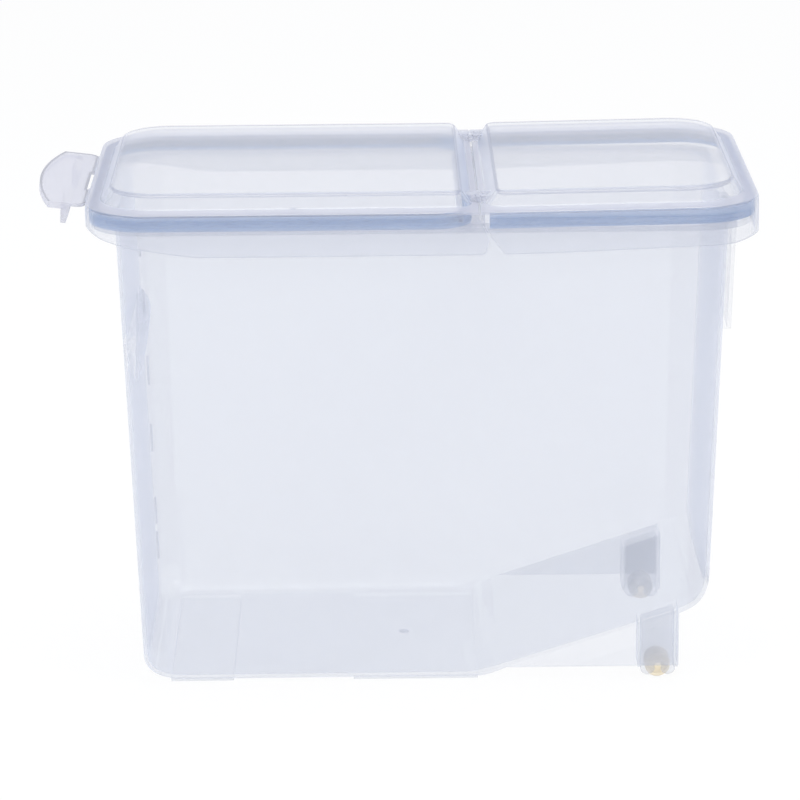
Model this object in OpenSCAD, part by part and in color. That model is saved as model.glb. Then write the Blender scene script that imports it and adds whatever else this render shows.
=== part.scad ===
// Rice bin with a two-part flip lid, a front latch flap and two snap-in rollers.
// Millimetres. +X runs to the roller end, +Y away from the viewer, +Z up.
// The origin is on the floor, under the middle of the lid's outline.

/* [Bin] */
// Outer length of the bin at its rim
bin_top_l = 328; // [322:1:332]
// Outer width of the bin at its rim
bin_top_w = 175; // [172:1:178]
// Outer length of the bin at the floor, with the walls' draft
bin_foot_l = 310.5; // [306:0.5:314]
// Outer width of the bin at the floor
bin_foot_w = 154; // [152:1:156]
// Height of the rim's top face
rim_top = 262.4; // [255:0.1:270]
// Thickness of the side and end walls
wall = 2; // [1.6:0.1:2.4]
// Thickness of the floor and of the slope
floor_t = 2.2; // [1.8:0.1:2.6]
// Radius of the bin's upright corners at the rim
top_corner_r = 28; // [24:1:30]
// Radius of the bin's upright corners at the floor
foot_corner_r = 22; // [20:1:24]
// Rounding between the walls and the floor
foot_edge_r = 9; // [8:0.5:10]
// Height of the foot strips under the floor
foot_h = 2; // [1.6:0.1:2.4]

/* [Slope and rollers] */
// Where the underside of the slope starts
slope_x = 44.5; // [43:0.5:47]
// Angle of the slope
slope_angle = 18; // [17:0.5:19]
// Height of the side skirts' lower edge over the floor
skirt_gap = 9.4; // [9:0.1:9.8]
// Radius of the rear lower corner of the bin
heel_r = 16; // [14:1:18]
// Roller centre, from the origin
roller_x = 128; // [126:1:129]
// Roller radius
roller_r = 7; // [6.8:0.1:7.2]
// Roller width
roller_w = 11; // [10:0.5:11]
// Radius of the roller's stub pins
stub_r = 2; // [1.8:0.1:2.2]
// Running clearance of the stub pins in their notches
stub_gap = 0.06; // [0.04:0.01:0.1]

/* [Lid] */
// Outer length of the closed lid
lid_l = 357.5; // [355:0.5:360]
// Outer width of the closed lid
lid_w = 203; // [201:1:205]
// Radius of the lid's corners
lid_corner_r = 32; // [30:1:34]
// Height of the lid's flat shelf
shelf_top = 272; // [271.8:0.1:272.2]
// Thickness of the lid
lid_t = 1.8; // [1.4:0.1:2]
// Height of the raised tops over the shelf
dome_h = 7.7; // [7.4:0.1:8.4]
// Height of the skirt's lower edge on the long sides
skirt_low = 249; // [247:0.5:251]
// Where the two halves meet
seam_x = 29.8; // [28:0.1:32]
// Gap between the two halves at the shelf
seam_gap = 1.2; // [0.8:0.1:1.6]
// How far the rear half sits up from its seal, in degrees
rear_lift = 0.8; // [0:0.1:1]

/* [Seals] */
// Thickness of the seal
seal_t = 3.9; // [3:0.1:4]
// Gap between the seals and the rim with the lid closed
seal_gap = 0.3; // [0.2:0.05:0.5]

/* [Latch flap] */
// Length of the flap from its hinge line to its tip
flap_l = 28; // [27:0.5:29]
// Width of the flap
flap_w = 120; // [118:1:122]
// Thickness of the flap
flap_t = 1.6; // [1.4:0.1:1.8]
// How far the open flap stands above level, in degrees
flap_tilt = 7; // [0:1:10]
// Length of the open slot in the hinge line
slot_l = 42; // [30:1:42]

/* [Hidden] */

clear_blue = [0.9, 0.92, 0.96, 0.45];
seal_blue = [0.55, 0.66, 0.82];
nylon = [0.86, 0.83, 0.77];

$fn = 64;
corner_steps = 12;
far_out = 400;

// Underside of the slope and the rounded heel behind it
slope_rise = tan(slope_angle);
heel_cx = half_l(60) - heel_r;
heel_cz = slope_under(heel_cx) + heel_r / cos(slope_angle);
heel_steps = 8;
strip_end = 29;

// Roller brackets
bracket_half = 11;
bracket_wall = 2;
bracket_low = 6.6;
bracket_y0 = 55.4;
bracket_y1 = 71.6;
roller_mid = 63.5;
jaw_r = 4;
jaw_x = 5.6;
jaw_z = 6.2;
notch_w = 3.4;

// Rim flange, under the seals
rim_t = 2.2;
rim_low = rim_top - rim_t;
rim_inset = 3.2;

// Finger grip: a half-moon pressed into the front wall
grip_top = 190;
grip_sphere_r = 180;
grip_depth = 10.2;
grip_cx = grip_depth - half_l(grip_top) - grip_sphere_r;
grip_cz = grip_top + 17.8;

// Rail under the rim at the rear
rail_half = 20;
rail_low = 185;
rail_depth = 9;

// Seals
seal_low = rim_top + seal_gap;
seal_top = shelf_top - lid_t;
seal_inset = 2.1;
seal_out_y = lid_w / 2 - seal_inset;
seal_out_x = lid_l / 2 - seal_inset;
seal_corner_r = lid_corner_r - seal_inset;

// Lid seam hinge
lid_skirt_t = 2;
lid_edge_r = 1.5;
front_edge = seam_x - seam_gap / 2;
rear_edge = seam_x + seam_gap / 2;
pivot_z = 274.1;
knuckle_r = 1.9;
pin_r = 1.1;
pin_gap = 0.06;
knuckle_y = 74;
knuckle_half = 3.5;
ear_gap = 0.3;
ear_w = 3;

// Raised tops: a rounded foot, a sloping side and a rounded upper edge
dome_half_w = 89.5;
dome_end = 171;
dome_slope = 55;
dome_fillet = 2;
dome_edge_r = 2.4;
dome_outer_r = 30;
dome_seam_r = 10;
dome_seam_gap = 4;
dome_levels = concat(
    [for (k = [0:3]) let (a = dome_slope * k / 3)
        [dome_fillet * (sin(a) - tan(dome_slope / 2)), dome_fillet * (1 - cos(a))]],
    [for (k = [4:-1:0]) let (a = dome_slope * k / 4)
        [dome_h / tan(dome_slope) + dome_edge_r * (tan(dome_slope / 2) - sin(a)),
            dome_h - dome_edge_r * (1 - cos(a))]]
);

// Ledge of the rear half, which the flip half's seal closes on
ledge_reach = 12;
ledge_t = 2;
ledge_half = half_w(rim_top) - wall - 1.5;
ledge_low = rim_top - 0.4 - ledge_t;

// Latch flap hinge line
flap_x = -lid_l / 2 - 1.25;
flap_z = 267.6;
barrel_r = flap_t / 2;
barrel_gap = 0.06;
catch_x = 7.5;
catch_drop = 11;
slot_y = -3.5;
flap_corner_r = 6;
flap_edge_t = 1.2;
flap_edge_drop = 1.8;
flap_edge_start = 9;

function mix(a, b, t) = a + (b - a) * t;
function half_l(z) = mix(bin_foot_l, bin_top_l, z / rim_top) / 2;
function half_w(z) = mix(bin_foot_w, bin_top_w, z / rim_top) / 2;
function corner_r(z) = mix(foot_corner_r, top_corner_r, z / rim_top);
function slope_under(x) = skirt_gap + slope_rise * (x - slope_x);

// Rounded rectangle at height z with corner radii r0 at its x0 end and r1 at its x1 end
function ring(x0, x1, y, r0, r1, z) = [
    for (c = [0:3], k = [0:corner_steps])
        let (a = 180 + 90 * c + 90 * k / corner_steps)
        let (front = c == 0 || c == 3)
        let (r = front ? r0 : r1)
        [(front ? x0 + r : x1 - r) + r * cos(a), (c < 2 ? r - y : y - r) + r * sin(a), z]
];

// The bin's section at height z, drawn in by inset
function bin_ring(z, inset) = ring(inset - half_l(z), half_l(z) - inset, half_w(z) - inset,
    corner_r(z) - inset, corner_r(z) - inset, z);

// The closed lid's outline at height z, drawn in by inset
function cap_ring(inset, z) = ring(inset - lid_l / 2, lid_l / 2 - inset, lid_w / 2 - inset,
    lid_corner_r - inset, lid_corner_r - inset, z);

// Solid through a stack of rings that have the same number of points
module loft(rings) {
    n = len(rings[0]);
    m = len(rings);
    polyhedron(
        points = [for (r = rings) each r],
        faces = concat(
            [[for (i = [0:n - 1]) i]],
            [[for (i = [0:n - 1]) m * n - 1 - i]],
            [for (j = [0:m - 2], i = [0:n - 1]) [j * n + i, (j + 1) * n + i, (j + 1) * n + (i + 1) % n]],
            [for (j = [0:m - 2], i = [0:n - 1]) [j * n + i, (j + 1) * n + (i + 1) % n, j * n + (i + 1) % n]]
        )
    );
}

// A side outline in X and Z, pushed through the whole width
module through_width(points) {
    translate([0, far_out / 2, 0])
        rotate([90, 0, 0])
            linear_extrude(far_out)
                polygon(points);
}

module along_y(r, y0, y1) {
    translate([0, y1, 0])
        rotate([90, 0, 0])
            cylinder(r = r, h = y1 - y0);
}

// Bin: walls with draft and a rounded edge at the floor
module tub(inset, z0, z1, edge) {
    loft(concat(
        [for (a = [0:18:72]) bin_ring(z0 + edge * (1 - cos(a)), inset + edge * (1 - sin(a)))],
        [bin_ring(z0 + edge, inset), bin_ring(z1, inset)]
    ));
}

function heel_arc(r) = [
    for (k = [0:heel_steps])
        let (a = -90 + slope_angle + (90 - slope_angle) * k / heel_steps)
        [heel_cx + r * cos(a), heel_cz + r * sin(a)]
];

// Everything above this outline belongs to the bin, up to its rim
function bin_outline() = concat(
    [[-far_out, rim_low], [-far_out, foot_h], [strip_end, foot_h], [slope_x, skirt_gap]],
    [[roller_x + bracket_half, skirt_gap]],
    [[roller_x + bracket_half, slope_under(roller_x + bracket_half)]],
    heel_arc(heel_r),
    [[far_out, heel_cz], [far_out, rim_low]]
);

// Everything above this outline is the space for the rice
function rice_outline() = concat(
    [[-far_out, far_out], [-far_out, foot_h + floor_t]],
    [[slope_x + (foot_h + floor_t - skirt_gap - floor_t / cos(slope_angle)) / slope_rise, foot_h + floor_t]],
    heel_arc(heel_r - floor_t),
    [[far_out, heel_cz], [far_out, far_out]]
);

// The open space under the slope, between the side skirts
function under_outline() = [
    [slope_x, -far_out], [slope_x, skirt_gap],
    [roller_x + bracket_half, slope_under(roller_x + bracket_half)],
    [far_out, slope_under(far_out)], [far_out, -far_out]
];

module grip(r, top) {
    intersection() {
        translate([grip_cx, 0, grip_cz])
            sphere(r, $fn = 128);
        translate([-far_out, -far_out / 2, 0])
            cube([far_out, far_out, top]);
    }
}

// Flange round the top of the walls, which the seals close on and the lid's skirt covers
module bin_rim() {
    color(clear_blue)
        difference() {
            loft([for (z = [rim_low, rim_top]) cap_ring(rim_inset, z)]);
            loft([for (z = [rim_low - 10, rim_top + 10]) bin_ring(z, wall)]);
        }
}

module rear_rail() {
    difference() {
        intersection() {
            translate([half_l(rail_low) - 20, -rail_half, rail_low])
                cube([60, 2 * rail_half, rim_low - rail_low]);
            loft([bin_ring(rail_low - 10, -rail_depth), bin_ring(rim_top, -rail_depth)]);
        }
        tub(wall / 2, 100, rim_top + 20, 1);
        intersection() {
            translate([half_l(rail_low) - 20, bracket_wall - rail_half, rail_low - 1])
                cube([60, 2 * (rail_half - bracket_wall), rim_top - 8 - rail_low]);
            loft([bin_ring(rail_low - 10, bracket_wall - rail_depth), bin_ring(rim_top, bracket_wall - rail_depth)]);
        }
    }
}

module foot_strips() {
    strip_half = bin_foot_w / 2 - foot_edge_r;
    for (s = [[-140, -105.5], [-39.5, strip_end]])
        translate([s[0], -strip_half, 0])
            cube([s[1] - s[0], 2 * strip_half, foot_h + 0.8]);
}

// One roller bracket on the side s, with its two notched plates
module bracket(s) {
    y0 = s > 0 ? bracket_y0 : -bracket_y1;
    y1 = s > 0 ? bracket_y1 : -bracket_y0;
    intersection() {
        translate([roller_x, 0, 0])
            union() {
                translate([-bracket_half, y0, bracket_low])
                    cube([2 * bracket_half, y1 - y0, 60]);
                for (d = [-1, 1])
                    translate([d * jaw_x, 0, jaw_z])
                        along_y(jaw_r, y0, y1);
            }
        through_width([
            [slope_x, -far_out], [slope_x, skirt_gap + 1],
            [roller_x + bracket_half, slope_under(roller_x + bracket_half) + 1],
            [roller_x + bracket_half, -far_out]
        ]);
    }
}

module roller_well(s) {
    well_half = bracket_half - bracket_wall;
    translate([roller_x, s * roller_mid, 0]) {
        intersection() {
            translate([-well_half, -roller_w / 2 - 0.6, -1])
                cube([2 * well_half, roller_w + 1.2, 60]);
            translate([-roller_x, -s * roller_mid, 0])
                through_width([[0, -2], [far_out, -2], [far_out, slope_under(far_out) - 1.5], [slope_x, skirt_gap - 1.5]]);
        }
    }
}

module stub_notch() {
    translate([roller_x, 0, roller_r])
        along_y(stub_r + stub_gap, -far_out / 2, far_out / 2);
    translate([roller_x - notch_w / 2, -far_out / 2, -1])
        cube([notch_w, far_out, roller_r + 1]);
}

module bin() {
    color(clear_blue)
        difference() {
            union() {
                difference() {
                    intersection() {
                        tub(0, foot_h, rim_top, foot_edge_r);
                        through_width(bin_outline());
                    }
                    difference() {
                        intersection() {
                            tub(wall, foot_h + floor_t, rim_top + 20, foot_edge_r - wall);
                            through_width(rice_outline());
                        }
                        grip(grip_sphere_r + wall, grip_top + wall);
                    }
                    intersection() {
                        loft([bin_ring(-20, wall), bin_ring(80, wall)]);
                        through_width(under_outline());
                    }
                }
                for (s = [-1, 1])
                    bracket(s);
                rear_rail();
                foot_strips();
            }
            for (s = [-1, 1])
                roller_well(s);
            stub_notch();
            grip(grip_sphere_r, grip_top);
        }
}

// Cap that covers the whole rim, before it is parted at the seam
module cap() {
    difference() {
        loft(concat(
            [cap_ring(0, skirt_low)],
            [for (a = [0:30:90]) cap_ring(lid_edge_r * (1 - cos(a)), shelf_top - lid_edge_r * (1 - sin(a)))]
        ));
        loft([for (z = [skirt_low - 1, shelf_top - lid_t]) cap_ring(lid_skirt_t, z)]);
    }
}

// Side outline of the flip half, with its skirt cut up towards the front
function front_outline() = [
    [-far_out, far_out], [-far_out, 260.5], [-178, 260.5], [-170, 257.4], [-154, 254.2],
    [-130, 250.4], [-118, skirt_low], [31.5, skirt_low], [33.5, 250.5], [34.9, 257.6], [31.3, 265],
    [front_edge, 270.2], [front_edge, far_out]
];

// Side outline of the rear half, which leaves the flip half's skirt room to swing
function rear_outline() = [
    [far_out, far_out], [far_out, 252.4], [176, 252.4], [164, 251], [146, 251], [124, 250.5],
    [70, skirt_low + 0.2], [42.2, skirt_low], [35.7, 258], [32.1, 265.3], [rear_edge, 270.4],
    [rear_edge, far_out]
];

// Raised top between x0 and x1, with corner radii r0 and r1, drawn in by inset and set down by drop
module dome(x0, x1, r0, r1, inset, drop) {
    function level(v, z) = ring(x0 + inset + v, x1 - inset - v, dome_half_w - inset - v,
        r0 - inset - v, r1 - inset - v, z - drop);
    loft(concat(
        [level(dome_levels[0][0], shelf_top - lid_t / 2)],
        [for (v = dome_levels) level(v[0], shelf_top + v[1])]
    ));
}

// Half of the lid inside a side outline, with its raised top between x0 and x1
module lid_half(outline, x0, x1, r0, r1) {
    difference() {
        union() {
            intersection() {
                cap();
                through_width(outline);
            }
            dome(x0, x1, r0, r1, 0, 0);
        }
        dome(x0, x1, r0, r1, lid_t * tan(dome_slope / 2), lid_t);
    }
}

// Rib ring on the lid's underside that holds the seal from inside
module seal_rib(x0, x1) {
    rib_t = 1.4;
    rib_drop = 5;
    inset = seal_inset + seal_t + 0.15;
    intersection() {
        difference() {
            loft([for (z = [seal_top - rib_drop, seal_top + 0.5]) cap_ring(inset, z)]);
            loft([for (z = [seal_top - rib_drop - 1, seal_top + 1]) cap_ring(inset + rib_t, z)]);
        }
        translate([x0, -far_out / 2, 0])
            cube([x1 - x0, far_out, far_out]);
    }
}

// Knuckle on the flip half, with its pin, at y on the hinge line
module knuckle(y) {
    translate([seam_x, y, pivot_z]) {
        along_y(knuckle_r, -knuckle_half, knuckle_half);
        along_y(pin_r, -knuckle_half - ear_gap - ear_w, knuckle_half + ear_gap + ear_w);
    }
    web(y, knuckle_half, -1);
}

// Web from a knuckle or ear down to the lid on the side s of the hinge line
module web(y, half, s) {
    translate([seam_x, y + half, 0])
        rotate([90, 0, 0])
            linear_extrude(2 * half)
                polygon([
                    [0, pivot_z + knuckle_r], [8.2 * s, pivot_z + knuckle_r], [4.8 * s, 271.5],
                    [1.1 * s, 271.5], [0, pivot_z - knuckle_r]
                ]);
}

// Ears of the rear half, one on each side of a knuckle
module ear(y) {
    difference() {
        union() {
            translate([seam_x, y, pivot_z])
                along_y(knuckle_r, -ear_w / 2, ear_w / 2);
            web(y, ear_w / 2, 1);
        }
        translate([seam_x, y, pivot_z])
            along_y(pin_r + pin_gap, -ear_w, ear_w);
    }
}

module flap_socket() {
    difference() {
        translate([flap_x, flap_corner_r - flap_w / 2, flap_z])
            cube([1.8, flap_w - 2 * flap_corner_r, 1.6]);
        translate([flap_x, 0, flap_z])
            along_y(barrel_r + barrel_gap, -flap_w, flap_w);
        slot_cut();
    }
}

module slot_cut() {
    translate([flap_x - 1.4, slot_y - slot_l / 2, flap_z - 3])
        cube([2.6, slot_l, 6]);
}

module front_lid() {
    color(clear_blue) {
        lid_half(front_outline(), -dome_end, seam_x - dome_seam_gap, dome_outer_r, dome_seam_r);
        seal_rib(-lid_l / 2, seam_x - 8.5);
        flap_socket();
        for (s = [-1, 1])
            knuckle(s * knuckle_y);
    }
}

module lifted() {
    translate([seam_x, 0, pivot_z])
        rotate([0, -rear_lift, 0])
            translate([-seam_x, 0, -pivot_z])
                children();
}

module rear_lid() {
    color(clear_blue)
        lifted() {
            lid_half(rear_outline(), seam_x + dome_seam_gap, dome_end, dome_seam_r, dome_outer_r);
            seal_rib(seam_x + 8.5, lid_l / 2);
            translate([rear_edge + 0.4, -ledge_half, ledge_low])
                cube([ledge_t, 2 * ledge_half, seal_top + 0.5 - ledge_low]);
            translate([rear_edge + 0.4 - ledge_reach, -ledge_half, ledge_low])
                cube([ledge_reach + ledge_t, 2 * ledge_half, ledge_t]);
            for (s = [-1, 1], e = [-1, 1])
                ear(s * knuckle_y + e * (knuckle_half + ear_gap + ear_w / 2));
        }
}

module seal_band(x0, x1, r0, r1) {
    difference() {
        loft([for (z = [seal_low, seal_top]) ring(x0, x1, seal_out_y, r0, r1, z)]);
        loft([for (z = [seal_low - 1, seal_top + 1])
            ring(x0 + seal_t, x1 - seal_t, seal_out_y - seal_t, r0 - seal_t, r1 - seal_t, z)]);
    }
}

module front_seal() {
    color(seal_blue)
        seal_band(-seal_out_x, seam_x - 3.9, seal_corner_r, 20);
}

module rear_seal() {
    color(seal_blue)
        lifted()
            intersection() {
                seal_band(0, seal_out_x, 20, seal_corner_r);
                translate([seam_x + 5.1, -far_out / 2, 0])
                    cube([far_out, far_out, far_out]);
            }
}

// Outline of the flap with a bowed tip, drawn in by inset
module flap_outline(inset) {
    r = flap_corner_r - inset;
    half = flap_w / 2 - inset;
    bow_r = 210 - inset;
    intersection() {
        union() {
            translate([inset - flap_l + r, -half])
                square([flap_l - inset - 2 * r, 2 * half]);
            translate([inset - flap_l, r - half])
                square([flap_l - inset, 2 * (half - r)]);
            for (s = [-1, 1], x = [inset - flap_l + r, -r])
                translate([x, s * (half - r)])
                    circle(r);
        }
        translate([210 - flap_l, 0])
            circle(bow_r, $fn = 256);
    }
}

// Turned-down edge round the flap's tip and sides
module flap_edge() {
    translate([0, 0, -flap_t / 2 - flap_edge_drop])
        linear_extrude(flap_edge_drop + 0.4)
            difference() {
                flap_outline(0);
                flap_outline(flap_edge_t);
                translate([-flap_edge_start, -flap_w])
                    square([2 * flap_edge_start, 2 * flap_w]);
            }
}

module latch_flap() {
    color(clear_blue)
        translate([flap_x, 0, flap_z])
            rotate([0, flap_tilt, 0]) {
                difference() {
                    union() {
                        translate([0, 0, -flap_t / 2])
                            linear_extrude(flap_t)
                                flap_outline(0);
                        flap_edge();
                        along_y(barrel_r, flap_corner_r - flap_w / 2, flap_w / 2 - flap_corner_r);
                        for (s = [-1, 1])
                            translate([0, s * 40.5, 0])
                                catch();
                    }
                    translate([-flap_x, 0, -flap_z])
                        slot_cut();
                }
            }
}

// Catch under the flap
module catch() {
    half = 16.5;
    translate([0, half, 0])
        rotate([90, 0, 0])
            linear_extrude(2 * half)
                polygon([
                    [-catch_x, 0], [-catch_x - 1.7, -catch_drop],
                    [-catch_x - 4.5, -catch_drop], [-catch_x - 5.3, 0]
                ]);
}

// Moulded roller with its two stub pins, made on the Z axis and laid along Y
module roller(s) {
    half = roller_w / 2;
    out_l = bracket_y1 - roller_mid - 0.3;
    in_l = roller_mid - bracket_y0 - 0.2;
    color(nylon)
        translate([roller_x, s * roller_mid, roller_r])
            rotate([-90 * s, 0, 0])
                rotate_extrude()
                    polygon([
                        [0, -in_l], [stub_r - 0.4, -in_l], [stub_r, 0.4 - in_l], [stub_r, -half], [3.4, -half], [3.4, 1 - half],
                        [5.2, 1 - half], [5.2, -half], [roller_r - 0.6, -half], [roller_r, 0.6 - half],
                        [roller_r, half - 0.6], [roller_r - 0.6, half], [5.2, half], [5.2, half - 1], [3.4, half - 1],
                        [3.4, half], [stub_r, half], [stub_r, out_l - 0.4], [stub_r - 0.4, out_l], [0, out_l]
                    ]);
}

module near_wheel() {
    roller(-1);
}

module far_wheel() {
    roller(1);
}

bin();
bin_rim();
front_lid();
front_seal();
rear_lid();
rear_seal();
latch_flap();
near_wheel();
far_wheel();
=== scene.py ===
"""Rice bin with a flip lid: finishes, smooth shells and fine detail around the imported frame."""
import math

import bmesh
import bpy
from mathutils import Matrix, Vector
from mathutils.bvhtree import BVHTree


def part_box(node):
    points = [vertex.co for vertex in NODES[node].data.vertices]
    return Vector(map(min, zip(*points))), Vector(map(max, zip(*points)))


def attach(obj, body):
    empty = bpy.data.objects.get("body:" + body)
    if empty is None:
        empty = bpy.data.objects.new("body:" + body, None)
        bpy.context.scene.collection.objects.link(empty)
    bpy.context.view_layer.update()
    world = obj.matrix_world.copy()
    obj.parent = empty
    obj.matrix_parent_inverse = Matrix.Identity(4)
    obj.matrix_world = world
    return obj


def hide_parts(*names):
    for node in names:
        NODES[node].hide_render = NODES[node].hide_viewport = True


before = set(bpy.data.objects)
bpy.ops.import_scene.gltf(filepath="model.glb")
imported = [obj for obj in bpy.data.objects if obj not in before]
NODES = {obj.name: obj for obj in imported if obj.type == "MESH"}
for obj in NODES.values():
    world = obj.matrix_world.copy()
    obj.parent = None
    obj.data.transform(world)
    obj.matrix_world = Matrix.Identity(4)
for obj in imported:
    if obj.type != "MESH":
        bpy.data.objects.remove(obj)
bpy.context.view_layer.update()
MM = 0.001


# Small helpers

def linear(hex_colour, alpha=1.0):
    """A linear RGBA colour from an sRGB hex value such as 'd7dce6'."""
    parts = [int(hex_colour[i:i + 2], 16) / 255 for i in (0, 2, 4)]
    return [p / 12.92 if p <= 0.04045 else ((p + 0.055) / 1.055) ** 2.4 for p in parts] + [alpha]


def node(tree, kind, settings=None, inputs=None):
    """Adds one shader node, with its settings, and its inputs given as values or as sockets."""
    made = tree.nodes.new(kind)
    for key, value in (settings or {}).items():
        setattr(made, key, value)
    for key, value in (inputs or {}).items():
        if isinstance(value, bpy.types.NodeSocket):
            tree.links.new(value, made.inputs[key])
        else:
            made.inputs[key].default_value = value
    return made


def new_material(name):
    made = bpy.data.materials.new(name)
    made.use_nodes = True
    made.node_tree.nodes.clear()
    return made, made.node_tree


def looked_at(tree):
    """1 for rays from the camera, in a reflection or through glass, 0 for light that falls on things."""
    path = node(tree, "ShaderNodeLightPath")
    first = node(tree, "ShaderNodeMath", {"operation": "MAXIMUM"}, {
        0: path.outputs["Is Camera Ray"], 1: path.outputs["Is Glossy Ray"]})
    return node(tree, "ShaderNodeMath", {"operation": "MAXIMUM"}, {
        0: first.outputs[0], 1: path.outputs["Is Transmission Ray"]}).outputs[0]


# Materials

# Sizes of the patterns in the plastics
FLOW_CLOUD = 110 * MM
MOULD_GRAIN = 2.4 * MM
SILICONE_DUST = 6.25 * MM
ROLLING_SCUFF = 3.3 * MM

# Polypropylene's share of mirrored light seen straight on, how sharply both that and the milk rise
# towards the edge, and the share of the scattered light that goes on through the wall
STRAIGHT_GLOSS = 0.04
EDGE_RISE = 5.0
SCATTER_THROUGH = 0.4


def moulded_polypropylene(name, colour, density, edge_density, gloss, roughness, zones=()):
    """Injection-moulded natural polypropylene: pale, milky and clear enough to see the far wall through.

    Each face of a wall lets most of the light straight on and scatters the rest. Seen along the
    wall the path through it is longer, so it is denser there, and its skin is glossier. A zone is
    a part of the moulding with its own colour and density, given as a function that makes its mask,
    its colour and its density; some zones carry painted shade and painted light.
    """
    made, tree = new_material(name)
    facing = node(tree, "ShaderNodeLayerWeight", inputs={"Blend": 0.5}).outputs["Facing"]
    steep = node(tree, "ShaderNodeMath", {"operation": "POWER"}, {0: facing, 1: EDGE_RISE})
    dense = node(tree, "ShaderNodeMath", {"operation": "MULTIPLY_ADD"}, {
        0: steep.outputs[0], 1: edge_density - density, 2: density}).outputs[0]
    sheen = node(tree, "ShaderNodeMath", {"operation": "MULTIPLY_ADD"}, {
        0: steep.outputs[0], 1: gloss, 2: STRAIGHT_GLOSS}).outputs[0]
    where = node(tree, "ShaderNodeTexCoord")
    cloud = node(tree, "ShaderNodeTexNoise", inputs={
        "Vector": where.outputs["Object"], "Scale": 1 / FLOW_CLOUD, "Detail": 3.0})
    shade = node(tree, "ShaderNodeMix", {"data_type": "RGBA"}, {
        "Factor": cloud.outputs["Fac"], "A": linear(colour[0]), "B": linear(colour[1])}).outputs["Result"]
    for mask, zone_colour, zone_density in zones:
        inside = mask(tree, where)
        shade = node(tree, "ShaderNodeMix", {"data_type": "RGBA"}, {
            "Factor": inside, "A": shade, "B": linear(zone_colour)}).outputs["Result"]
        dense = node(tree, "ShaderNodeMix", {"data_type": "FLOAT"}, {
            "Factor": inside, "A": dense, "B": zone_density}).outputs["Result"]
    grain = node(tree, "ShaderNodeTexNoise", inputs={
        "Vector": where.outputs["Object"], "Scale": 1 / MOULD_GRAIN, "Detail": 2.0})
    bump = node(tree, "ShaderNodeBump", inputs={
        "Height": grain.outputs["Fac"], "Strength": 0.05, "Distance": 0.0004})
    milk = node(tree, "ShaderNodeBsdfPrincipled", inputs={
        "Base Color": shade, "Roughness": 0.6, "IOR": 1.49, "Specular IOR Level": 0.0})
    glow = node(tree, "ShaderNodeBsdfTranslucent", inputs={"Color": shade})
    scatter = node(tree, "ShaderNodeMixShader", inputs={
        "Fac": SCATTER_THROUGH, 1: milk.outputs["BSDF"], 2: glow.outputs["BSDF"]})
    clear = node(tree, "ShaderNodeBsdfTransparent")
    wall = node(tree, "ShaderNodeMixShader", inputs={
        "Fac": dense, 1: clear.outputs["BSDF"], 2: scatter.outputs["Shader"]})
    skin = node(tree, "ShaderNodeBsdfGlossy", inputs={
        "Color": (1, 1, 1, 1), "Roughness": roughness, "Normal": bump.outputs["Normal"]})
    whole = node(tree, "ShaderNodeMixShader", inputs={
        "Fac": sheen, 1: wall.outputs["Shader"], 2: skin.outputs["BSDF"]})
    node(tree, "ShaderNodeOutputMaterial", inputs={"Surface": whole.outputs["Shader"]})
    return made


# Slant of faces that look nearly straight along an axis
SQUARE_ON = (0.9, 1.1)


def between(tree, value, low, high):
    """1 where a value lies between two others, 0 elsewhere."""
    over = node(tree, "ShaderNodeMath", {"operation": "GREATER_THAN"}, {0: value, 1: low})
    under = node(tree, "ShaderNodeMath", {"operation": "LESS_THAN"}, {0: value, 1: high})
    return node(tree, "ShaderNodeMath", {"operation": "MULTIPLY"}, {
        0: over.outputs[0], 1: under.outputs[0]}).outputs[0]


def facing_zone(axis, slant, place_axis, place):
    """A mask for faces of one slant to an axis, inside one range of places, both given low and high."""
    def mask(tree, where):
        turned = node(tree, "ShaderNodeSeparateXYZ", inputs={"Vector": where.outputs["Normal"]})
        spot = node(tree, "ShaderNodeSeparateXYZ", inputs={"Vector": where.outputs["Object"]})
        slanted = node(tree, "ShaderNodeMath", {"operation": "ABSOLUTE"}, {0: turned.outputs[axis]})
        return node(tree, "ShaderNodeMath", {"operation": "MULTIPLY"}, {
            0: between(tree, slanted.outputs[0], *slant),
            1: between(tree, spot.outputs[place_axis], *place)}).outputs[0]
    return mask


def skirt_zone(start, angle):
    """A mask for upright faces under a slope that rises from a start along X at an angle in degrees."""
    def mask(tree, where):
        turned = node(tree, "ShaderNodeSeparateXYZ", inputs={"Vector": where.outputs["Normal"]})
        sideways = node(tree, "ShaderNodeMath", {"operation": "ABSOLUTE"}, {0: turned.outputs["Y"]})
        down = (math.sin(math.radians(angle)), 0, -math.cos(math.radians(angle)))
        below = node(tree, "ShaderNodeVectorMath", {"operation": "DOT_PRODUCT"}, {
            0: where.outputs["Object"], 1: down})
        least = start * down[0] + 2 * MM
        return node(tree, "ShaderNodeMath", {"operation": "MULTIPLY"}, {
            0: between(tree, sideways.outputs[0], *SQUARE_ON),
            1: between(tree, below.outputs["Value"], least, 1.0)}).outputs[0]
    return mask


def marked_zone(attribute):
    """A mask for the faces that a piece's own attribute marks."""
    def mask(tree, where):
        return node(tree, "ShaderNodeAttribute", {"attribute_name": attribute}).outputs["Fac"]
    return mask


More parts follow.
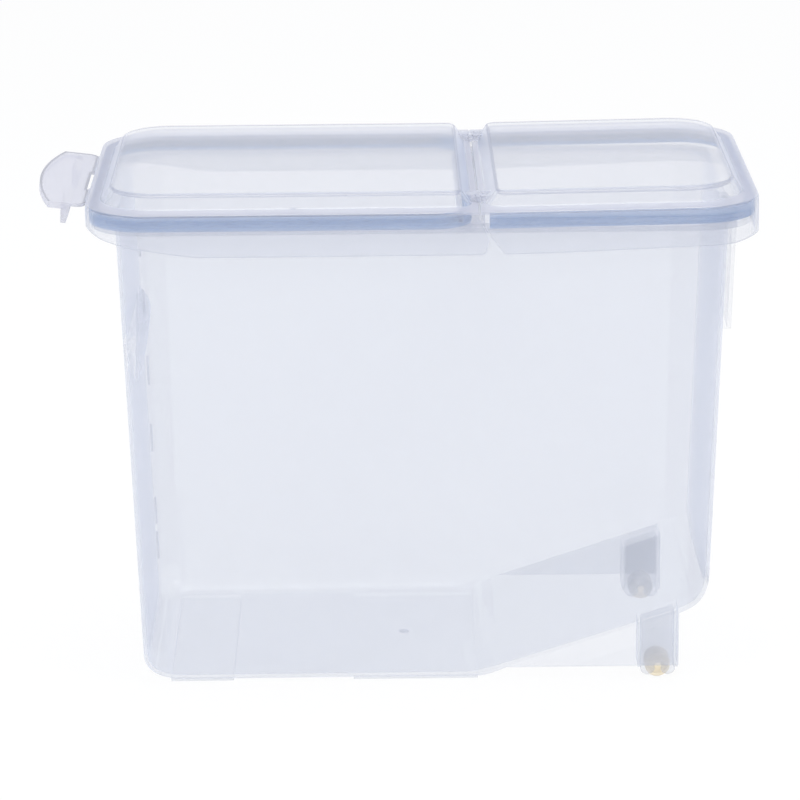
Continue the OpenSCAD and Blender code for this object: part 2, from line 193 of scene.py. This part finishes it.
def moulded_silicone(name, colour, edge_light_colour, height):
    """Moulded silicone rubber: blue and a little see-through, faintly waxy, with painted light: darker
    along its middle and painted paler towards its top and bottom edges.
    """
    made, tree = new_material(name)
    where = node(tree, "ShaderNodeTexCoord")
    dust = node(tree, "ShaderNodeTexNoise", inputs={
        "Vector": where.outputs["Object"], "Scale": 1 / SILICONE_DUST, "Detail": 4.0})
    blue = node(tree, "ShaderNodeMix", {"data_type": "RGBA"}, {
        "Factor": dust.outputs["Fac"], "A": linear(colour[0]), "B": linear(colour[1])}).outputs["Result"]
    spot = node(tree, "ShaderNodeSeparateXYZ", inputs={"Vector": where.outputs["Object"]})
    middle = (height[0] + height[1]) / 2
    off = node(tree, "ShaderNodeMath", {"operation": "SUBTRACT"}, {0: spot.outputs["Z"], 1: middle})
    far = node(tree, "ShaderNodeMath", {"operation": "ABSOLUTE"}, {0: off.outputs[0]})
    # painted light: the band is painted paler towards its top and bottom edges, for the soft bright edges
    # it shows through the milky lid
    painted_edge_light = node(tree, "ShaderNodeMapRange", {"interpolation_type": "SMOOTHSTEP"}, {
        "Value": far.outputs[0], "From Min": 0.4 * (height[1] - middle), "From Max": height[1] - middle})
    shade = node(tree, "ShaderNodeMix", {"data_type": "RGBA"}, {
        "Factor": painted_edge_light.outputs["Result"], "A": blue, "B": linear(edge_light_colour)}).outputs["Result"]
    shader = node(tree, "ShaderNodeBsdfPrincipled", inputs={
        "Base Color": shade, "Roughness": 0.45, "IOR": 1.41, "Alpha": 0.5})
    node(tree, "ShaderNodeOutputMaterial", inputs={"Surface": shader.outputs["BSDF"]})
    return made


def moulded_nylon(name, colour):
    """Moulded nylon, cream with age: a little milky and waxy, with fine scuffs from rolling."""
    made, tree = new_material(name)
    where = node(tree, "ShaderNodeTexCoord")
    scuff = node(tree, "ShaderNodeTexNoise", inputs={
        "Vector": where.outputs["Object"], "Scale": 1 / ROLLING_SCUFF, "Detail": 5.0})
    shade = node(tree, "ShaderNodeMix", {"data_type": "RGBA"}, {
        "Factor": scuff.outputs["Fac"], "A": linear(colour[0]), "B": linear(colour[1])})
    bump = node(tree, "ShaderNodeBump", inputs={
        "Height": scuff.outputs["Fac"], "Strength": 0.1, "Distance": 0.0003})
    shader = node(tree, "ShaderNodeBsdfPrincipled", inputs={
        "Base Color": shade.outputs["Result"], "Roughness": 0.4, "IOR": 1.53, "Alpha": 0.5,
        "Normal": bump.outputs["Normal"]})
    node(tree, "ShaderNodeOutputMaterial", inputs={"Surface": shader.outputs["BSDF"]})
    return made


# Where the plastic takes its own colour and density, in the CAD's own places; some zones carry painted
# shade and painted light. A slant is how far a face's normal leans along an axis, from 0 to 1, and a range
# that ends past 1 takes in faces square to the axis.
LEVEL = (0.965, 1.1)
NEARLY_LEVEL = (0.95, 1.1)
ROUNDED_EDGE = (0.60, 0.965)
ROUNDED_CORNER = (0.4, 0.97)
SLOPING = (0.25, 0.37)
ANY_SLANT = (-0.1, 1.1)

# The lid's flat border over the seal, the dome's rounded upper edge, its top, and the end walls
# that face each other at the seam
SHELF_HEIGHT = (270 * MM, 275.5 * MM)
DOME_TOP_HEIGHT = (277.2 * MM, 1.0)
SEAM = (28.2 * MM, 31.4 * MM)
LID_ZONES = (
    # painted shade: the shelf is greyer and denser, partly for the layers of plastic over the seal's
    # channel and partly as painted shade from the channel's walls
    (facing_zone("Z", NEARLY_LEVEL, "Z", SHELF_HEIGHT), "cfd0dc", 0.6),
    # painted shade: a dark grey line painted along the dome's rounded upper edge
    (facing_zone("Z", ROUNDED_EDGE, "Z", DOME_TOP_HEIGHT), "acb0c1", 0.6),
    (facing_zone("Z", LEVEL, "Z", DOME_TOP_HEIGHT), "d6dae8", 0.17),
    # painted light: the seam's facing end walls are near white and almost clear, so the narrow gap between
    # them shows no shade and reads as a bright slit
    (facing_zone("X", SQUARE_ON, "X", SEAM), "f2f3f7", 0.06),
)

# The bin's upright corners, its sloping floor, the skirts under the slope and the rear rail
SLOPE_START = 44.5 * MM
SLOPE_ANGLE = 18
SLOPE_HEIGHT = (0, 60 * MM)
UPRIGHT_CORNERS = (20 * MM, 262 * MM)
REAR_RAIL = (166 * MM, 200 * MM)
BIN_ZONES = (
    # painted shade: a greyer, denser band round the upright corners, whose sharp edges draw the corners'
    # vertical lines
    (facing_zone("X", ROUNDED_CORNER, "Z", UPRIGHT_CORNERS), "ced3e2", 0.195),
    (facing_zone("X", SLOPING, "Z", SLOPE_HEIGHT), "d9deec", 0.2),
    (skirt_zone(SLOPE_START, SLOPE_ANGLE), "dadfec", 0.195),
    # painted light: the rear rail is paler and almost clear, so its shading hardly shows
    (facing_zone("X", ANY_SLANT, "X", REAR_RAIL), "e3e5ef", 0.09),
)

BIN_PLASTIC = moulded_polypropylene(
    "moulded_polypropylene_bin", ("d6dbea", "dde2ee"), 0.178, 0.75, 0.4, 0.22, BIN_ZONES)
LID_PLASTIC = moulded_polypropylene(
    "moulded_polypropylene_lid", ("d0d3e1", "d7dbe7"), 0.185, 0.7, 0.35, 0.28, LID_ZONES)
# The flap's raised rim is painted dark grey and dense: painted shade, for the dark outline along its edge.
FLAP_PLASTIC = moulded_polypropylene(
    "moulded_polypropylene_flap", ("d6d6e0", "dddde6"), 0.48, 0.8, 0.15, 0.35,
    [(marked_zone("flap_rim"), "b6b7bf", 0.85)])
SEAL_HEIGHT = [corner[2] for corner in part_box("front_seal")]
# The seal's paler top and bottom edges are painted light.
SEAL = moulded_silicone("moulded_silicone_seal", ("5586bd", "6192c6"), "a8bfde", SEAL_HEIGHT)
NYLON = moulded_nylon("moulded_nylon_roller", ("f7e5bd", "fdf0d2"))


# Pieces

def merged_mesh(name, source):
    """A copy of a moulded part's mesh with its doubles merged and its flats in one face each."""
    mesh = NODES[source].data.copy()
    mesh.name = name
    shape = bmesh.new()
    shape.from_mesh(mesh)
    bmesh.ops.remove_doubles(shape, verts=shape.verts, dist=2e-6)
    bmesh.ops.dissolve_limit(shape, angle_limit=math.radians(0.5), verts=shape.verts, edges=shape.edges)
    shape.to_mesh(mesh)
    shape.free()
    return mesh


def united(first, second):
    """One closed shell out of two meshes that touch, without the faces between them."""
    holders = [bpy.data.objects.new(mesh.name, mesh) for mesh in (first, second)]
    for holder in holders:
        bpy.context.scene.collection.objects.link(holder)
    union = holders[0].modifiers.new("union", "BOOLEAN")
    union.operation = "UNION"
    union.solver = "EXACT"
    union.object = holders[1]
    seen = bpy.context.evaluated_depsgraph_get()
    mesh = bpy.data.meshes.new_from_object(holders[0].evaluated_get(seen))
    for holder in holders:
        bpy.data.objects.remove(holder)
    return mesh


def finish_shell(name, mesh, body, material, sharp_angle=28):
    """Gives a shell its smooth shading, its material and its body."""
    shape = bmesh.new()
    shape.from_mesh(mesh)
    for face in shape.faces:
        face.smooth = True
        face.material_index = 0
    for edge in shape.edges:
        edge.smooth = len(edge.link_faces) == 2 and edge.calc_face_angle(0) < math.radians(sharp_angle)
    shape.to_mesh(mesh)
    shape.free()
    piece = bpy.data.objects.new(name, mesh)
    bpy.context.scene.collection.objects.link(piece)
    mesh.materials.clear()
    mesh.materials.append(material)
    weighted = piece.modifiers.new("flat_faces_stay_flat", "WEIGHTED_NORMAL")
    weighted.keep_sharp = True
    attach(piece, body)
    return piece


def smooth_copy(name, sources, body, material, reshape=None):
    """A smooth-shaded shell of one or two moulded parts, which it replaces."""
    mesh = merged_mesh(name, sources[0])
    if len(sources) == 2:
        mesh = united(mesh, merged_mesh(name, sources[1]))
    if reshape:
        reshape(mesh)
    piece = finish_shell(name, mesh, body, material)
    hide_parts(*sources)
    return piece


RIM_WIDTH = 1.3 * MM
RIM_HEIGHT = 0.25 * MM
SMALLEST_TOP = 50 * MM * MM


def raise_flap_rim(mesh):
    """Sinks the flap's top face a little inside its outline, so that a raised rim runs all round it."""
    shape = bmesh.new()
    shape.from_mesh(mesh)
    mark = shape.faces.layers.float.new("flap_rim")
    top = [f for f in shape.faces if f.normal.z > 0.97 and f.calc_area() > SMALLEST_TOP]
    rim = bmesh.ops.inset_region(shape, faces=top, thickness=RIM_WIDTH, depth=-RIM_HEIGHT,
                                 use_boundary=True, use_even_offset=True)["faces"]
    # these rim faces carry the flap's painted dark outline
    for face in rim:
        face[mark] = 1.0
    shape.to_mesh(mesh)
    shape.free()


def round_mark(name, place, profile, body, material):
    """A small round moulded mark, spun from a profile of radius and height in millimetres."""
    shape = bmesh.new()
    points = [shape.verts.new(Vector(place) * MM + Vector((r, 0, z)) * MM) for r, z in profile]
    for first, second in zip(points, points[1:]):
        shape.edges.new((first, second))
    bmesh.ops.spin(shape, geom=shape.verts[:] + shape.edges[:], cent=Vector(place) * MM, axis=(0, 0, 1),
                   dvec=(0, 0, 0), angle=2 * math.pi, steps=20, use_merge=True, use_duplicate=False)
    bmesh.ops.remove_doubles(shape, verts=shape.verts, dist=1e-6)
    bmesh.ops.recalc_face_normals(shape, faces=shape.faces)
    mesh = bpy.data.meshes.new(name)
    shape.to_mesh(mesh)
    shape.free()
    return finish_shell(name, mesh, body, material, sharp_angle=50)


smooth_copy("bin_shell", ["bin", "bin_rim"], "tub", BIN_PLASTIC)
smooth_copy("front_lid_shell", ["front_lid"], "front_half", LID_PLASTIC)
smooth_copy("rear_lid_shell", ["rear_lid"], "rear_half", LID_PLASTIC)
smooth_copy("front_seal_ring", ["front_seal"], "front_half", SEAL)
smooth_copy("rear_seal_strip", ["rear_seal"], "rear_half", SEAL)
smooth_copy("latch_flap_plate", ["latch_flap"], "latch", FLAP_PLASTIC, raise_flap_rim)
for side in ("near", "far"):
    smooth_copy(f"{side}_roller", [f"{side}_wheel"], f"{side}_roller", NYLON)

# The small round bosses at the dome's foot, one on each long side of each lid half.
SHELF_TOP = 272.0
BOSS_Y = 88.8
BOSS_PROFILE = ((0, -0.4), (1.5, -0.4), (1.5, 0.5), (1.2, 0.85), (0.6, 1.0), (0, 1.05))
for half, boss_x in (("front", -68.0), ("rear", 129.5)):
    for side, boss_y in (("near", -BOSS_Y), ("far", BOSS_Y)):
        round_mark(f"{half}_lid_boss_{side}", (boss_x, boss_y, SHELF_TOP), BOSS_PROFILE, f"{half}_half",
                   LID_PLASTIC)

# The shallow round mark that the injection gate leaves on the bin's floor.
GATE_PLACE = (-10.9, 2.1, 2.2)
GATE_PROFILE = ((0, -0.3), (3.0, -0.3), (3.0, 0.02), (2.2, 0.25), (1.1, 0.37), (0, 0.4))
round_mark("floor_gate_mark", GATE_PLACE, GATE_PROFILE, "tub", BIN_PLASTIC)

# Thin raised strokes down the near left corner, from its top to its bottom, each with its x, its y
# and its upper and lower end. It lies where the line through x and y to the corner's centre meets
# the wall from outside.
STROKES = ((-151.8, -87.0, 249.7, 245.8), (-150.3, -86.0, 227.6, 213.2), (-148.9, -84.3, 190.5, 174.5),
           (-148.2, -82.8, 151.9, 136.6), (-147.0, -81.1, 110.2, 95.2), (-146.4, -80.3, 90.6, 74.9))
STROKE_WIDTH = 0.9
STROKE_PROUD = 0.3
STROKE_BEVEL = 0.2
STROKE_STEPS = 5
OUTSIDE = 20
CORNER_CENTRE = Vector((-134.0, -59.0, 0))


def raised_stroke(name, x, y, high, low, skin):
    """A thin rib that follows the drafted corner of the bin between two heights, in millimetres."""
    outward = (Vector((x, y, 0)) - CORNER_CENTRE).normalized()
    along = Vector((-outward.y, outward.x, 0))
    shape = bmesh.new()
    bmesh.ops.create_cube(shape, size=1)
    uprights = [e for e in shape.edges if abs(e.verts[0].co.z - e.verts[1].co.z) > 0.5]
    bmesh.ops.subdivide_edges(shape, edges=uprights, cuts=STROKE_STEPS, use_grid_fill=True)
    for vert in shape.verts:
        height = low + (vert.co.z + 0.5) * (high - low)
        across = vert.co.x * STROKE_WIDTH * along
        start = (Vector((x, y, height)) + OUTSIDE * outward + across) * MM
        hit = skin.ray_cast(start, -outward)[0]
        vert.co = hit + outward * MM * (STROKE_PROUD if vert.co.y > 0 else -STROKE_PROUD)
    corners = [e for e in shape.edges if e.calc_face_angle(0) > math.radians(60)
               and abs(e.verts[0].co.z - e.verts[1].co.z) > MM]
    bmesh.ops.bevel(shape, geom=corners, offset=STROKE_BEVEL * MM, segments=2, profile=0.5,
                    affect="EDGES", material=-1)
    bmesh.ops.recalc_face_normals(shape, faces=shape.faces)
    mesh = bpy.data.meshes.new(name)
    shape.to_mesh(mesh)
    shape.free()
    finish_shell(name, mesh, "tub", BIN_PLASTIC, sharp_angle=50)


bin_mesh = NODES["bin"].data
bin_skin = BVHTree.FromPolygons([v.co.copy() for v in bin_mesh.vertices],
                                [tuple(p.vertices) for p in bin_mesh.polygons])
for number, (x, y, high, low) in enumerate(STROKES, 1):
    raised_stroke(f"corner_stroke_{number}", x, y, high, low, bin_skin)


# Camera, at the photograph's viewing angle, with its angles in degrees

FRAME_PX = 800
SENSOR_WIDTH = 36
FOCAL_PX = 3687.6
CAMERA_DISTANCE = 2060.4 * MM
CAMERA_ELEVATION = 16.6
CAMERA_YAW = 0.45
CAMERA_ROLL = -0.5
AIM = Vector((-12.06, 0, 140.13)) * MM


def add_camera():
    lens = bpy.data.cameras.new("photo_camera")
    lens.sensor_width = SENSOR_WIDTH
    lens.lens = FOCAL_PX * lens.sensor_width / FRAME_PX
    lens.clip_end = 50
    camera = bpy.data.objects.new("photo_camera", lens)
    bpy.context.scene.collection.objects.link(camera)
    tilt = Matrix.Rotation(math.radians(90 - CAMERA_ELEVATION), 4, "X")
    turn = Matrix.Rotation(math.radians(-CAMERA_YAW), 4, "Z")
    roll = Matrix.Rotation(math.radians(CAMERA_ROLL), 4, "Z")
    back = Matrix.Translation((0, 0, CAMERA_DISTANCE))
    camera.matrix_world = Matrix.Translation(AIM) @ turn @ tilt @ roll @ back
    bpy.context.scene.camera = camera


add_camera()


# Stage and light, in metres and watts

FLOOR_HALF = 6
FLOOR_DROP = 0.5 * MM
PAPER_COLOUR = "f4f4f4"
PAPER_SHOWN_WHITE = 0.92
ROOM_COLOUR = "e9eef6"
ROOM_LEVEL = 0.84
SOFTBOXES = (
    ("left_softbox", (-1.6, -1.3, 0.9), (0, 0, 0.15), (0.7, 1.4), 18),
    ("right_softbox", (1.7, -1.1, 0.9), (0, 0, 0.15), (0.6, 1.4), 14),
    ("top_softbox", (0.1, 0.2, 1.9), (0, 0, 0.2), (1.4, 1.2), 16),
)


def seen_white(name, own_colour, shown_share):
    """White paper that mostly shows as plain white where it is looked at, directly or in a reflection,
    and keeps a soft trace of the shadow on it."""
    made, tree = new_material(name)
    share = node(tree, "ShaderNodeMath", {"operation": "MULTIPLY"}, {0: looked_at(tree), 1: shown_share})
    paper = node(tree, "ShaderNodeBsdfDiffuse", inputs={"Color": linear(own_colour)})
    light = node(tree, "ShaderNodeEmission", inputs={"Color": (1, 1, 1, 1), "Strength": 1.0})
    mixed = node(tree, "ShaderNodeMixShader", inputs={
        "Fac": share.outputs[0], 1: paper.outputs["BSDF"], 2: light.outputs["Emission"]})
    node(tree, "ShaderNodeOutputMaterial", inputs={"Surface": mixed.outputs["Shader"]})
    return made


def add_floor():
    shape = bmesh.new()
    bmesh.ops.create_grid(shape, x_segments=1, y_segments=1, size=FLOOR_HALF)
    mesh = bpy.data.meshes.new("floor")
    bmesh.ops.translate(shape, verts=shape.verts, vec=(0, 0, -FLOOR_DROP))
    shape.to_mesh(mesh)
    shape.free()
    floor = bpy.data.objects.new("floor", mesh)
    bpy.context.scene.collection.objects.link(floor)
    mesh.materials.append(seen_white("white_paper_floor", PAPER_COLOUR, PAPER_SHOWN_WHITE))


def add_world():
    world = bpy.data.worlds.new("soft_room")
    bpy.context.scene.world = world
    world.use_nodes = True
    tree = world.node_tree
    tree.nodes.clear()
    room = node(tree, "ShaderNodeBackground", inputs={"Color": linear(ROOM_COLOUR), "Strength": ROOM_LEVEL})
    white = node(tree, "ShaderNodeBackground", inputs={"Color": (1, 1, 1, 1), "Strength": 1.0})
    mixed = node(tree, "ShaderNodeMixShader", inputs={
        "Fac": looked_at(tree), 1: room.outputs["Background"], 2: white.outputs["Background"]})
    node(tree, "ShaderNodeOutputWorld", inputs={"Surface": mixed.outputs["Shader"]})


def softbox(name, place, aim, size, power):
    data = bpy.data.lights.new(name, "AREA")
    data.shape = "RECTANGLE"
    data.size, data.size_y = size
    data.energy = power
    lamp = bpy.data.objects.new(name, data)
    bpy.context.scene.collection.objects.link(lamp)
    look = Vector(aim) - Vector(place)
    lamp.matrix_world = Matrix.Translation(place) @ look.to_track_quat("-Z", "Y").to_matrix().to_4x4()


add_floor()
add_world()
for name, place, aim, size, power in SOFTBOXES:
    softbox(name, place, aim, size, power)

bpy.context.scene.view_settings.view_transform = "Standard"
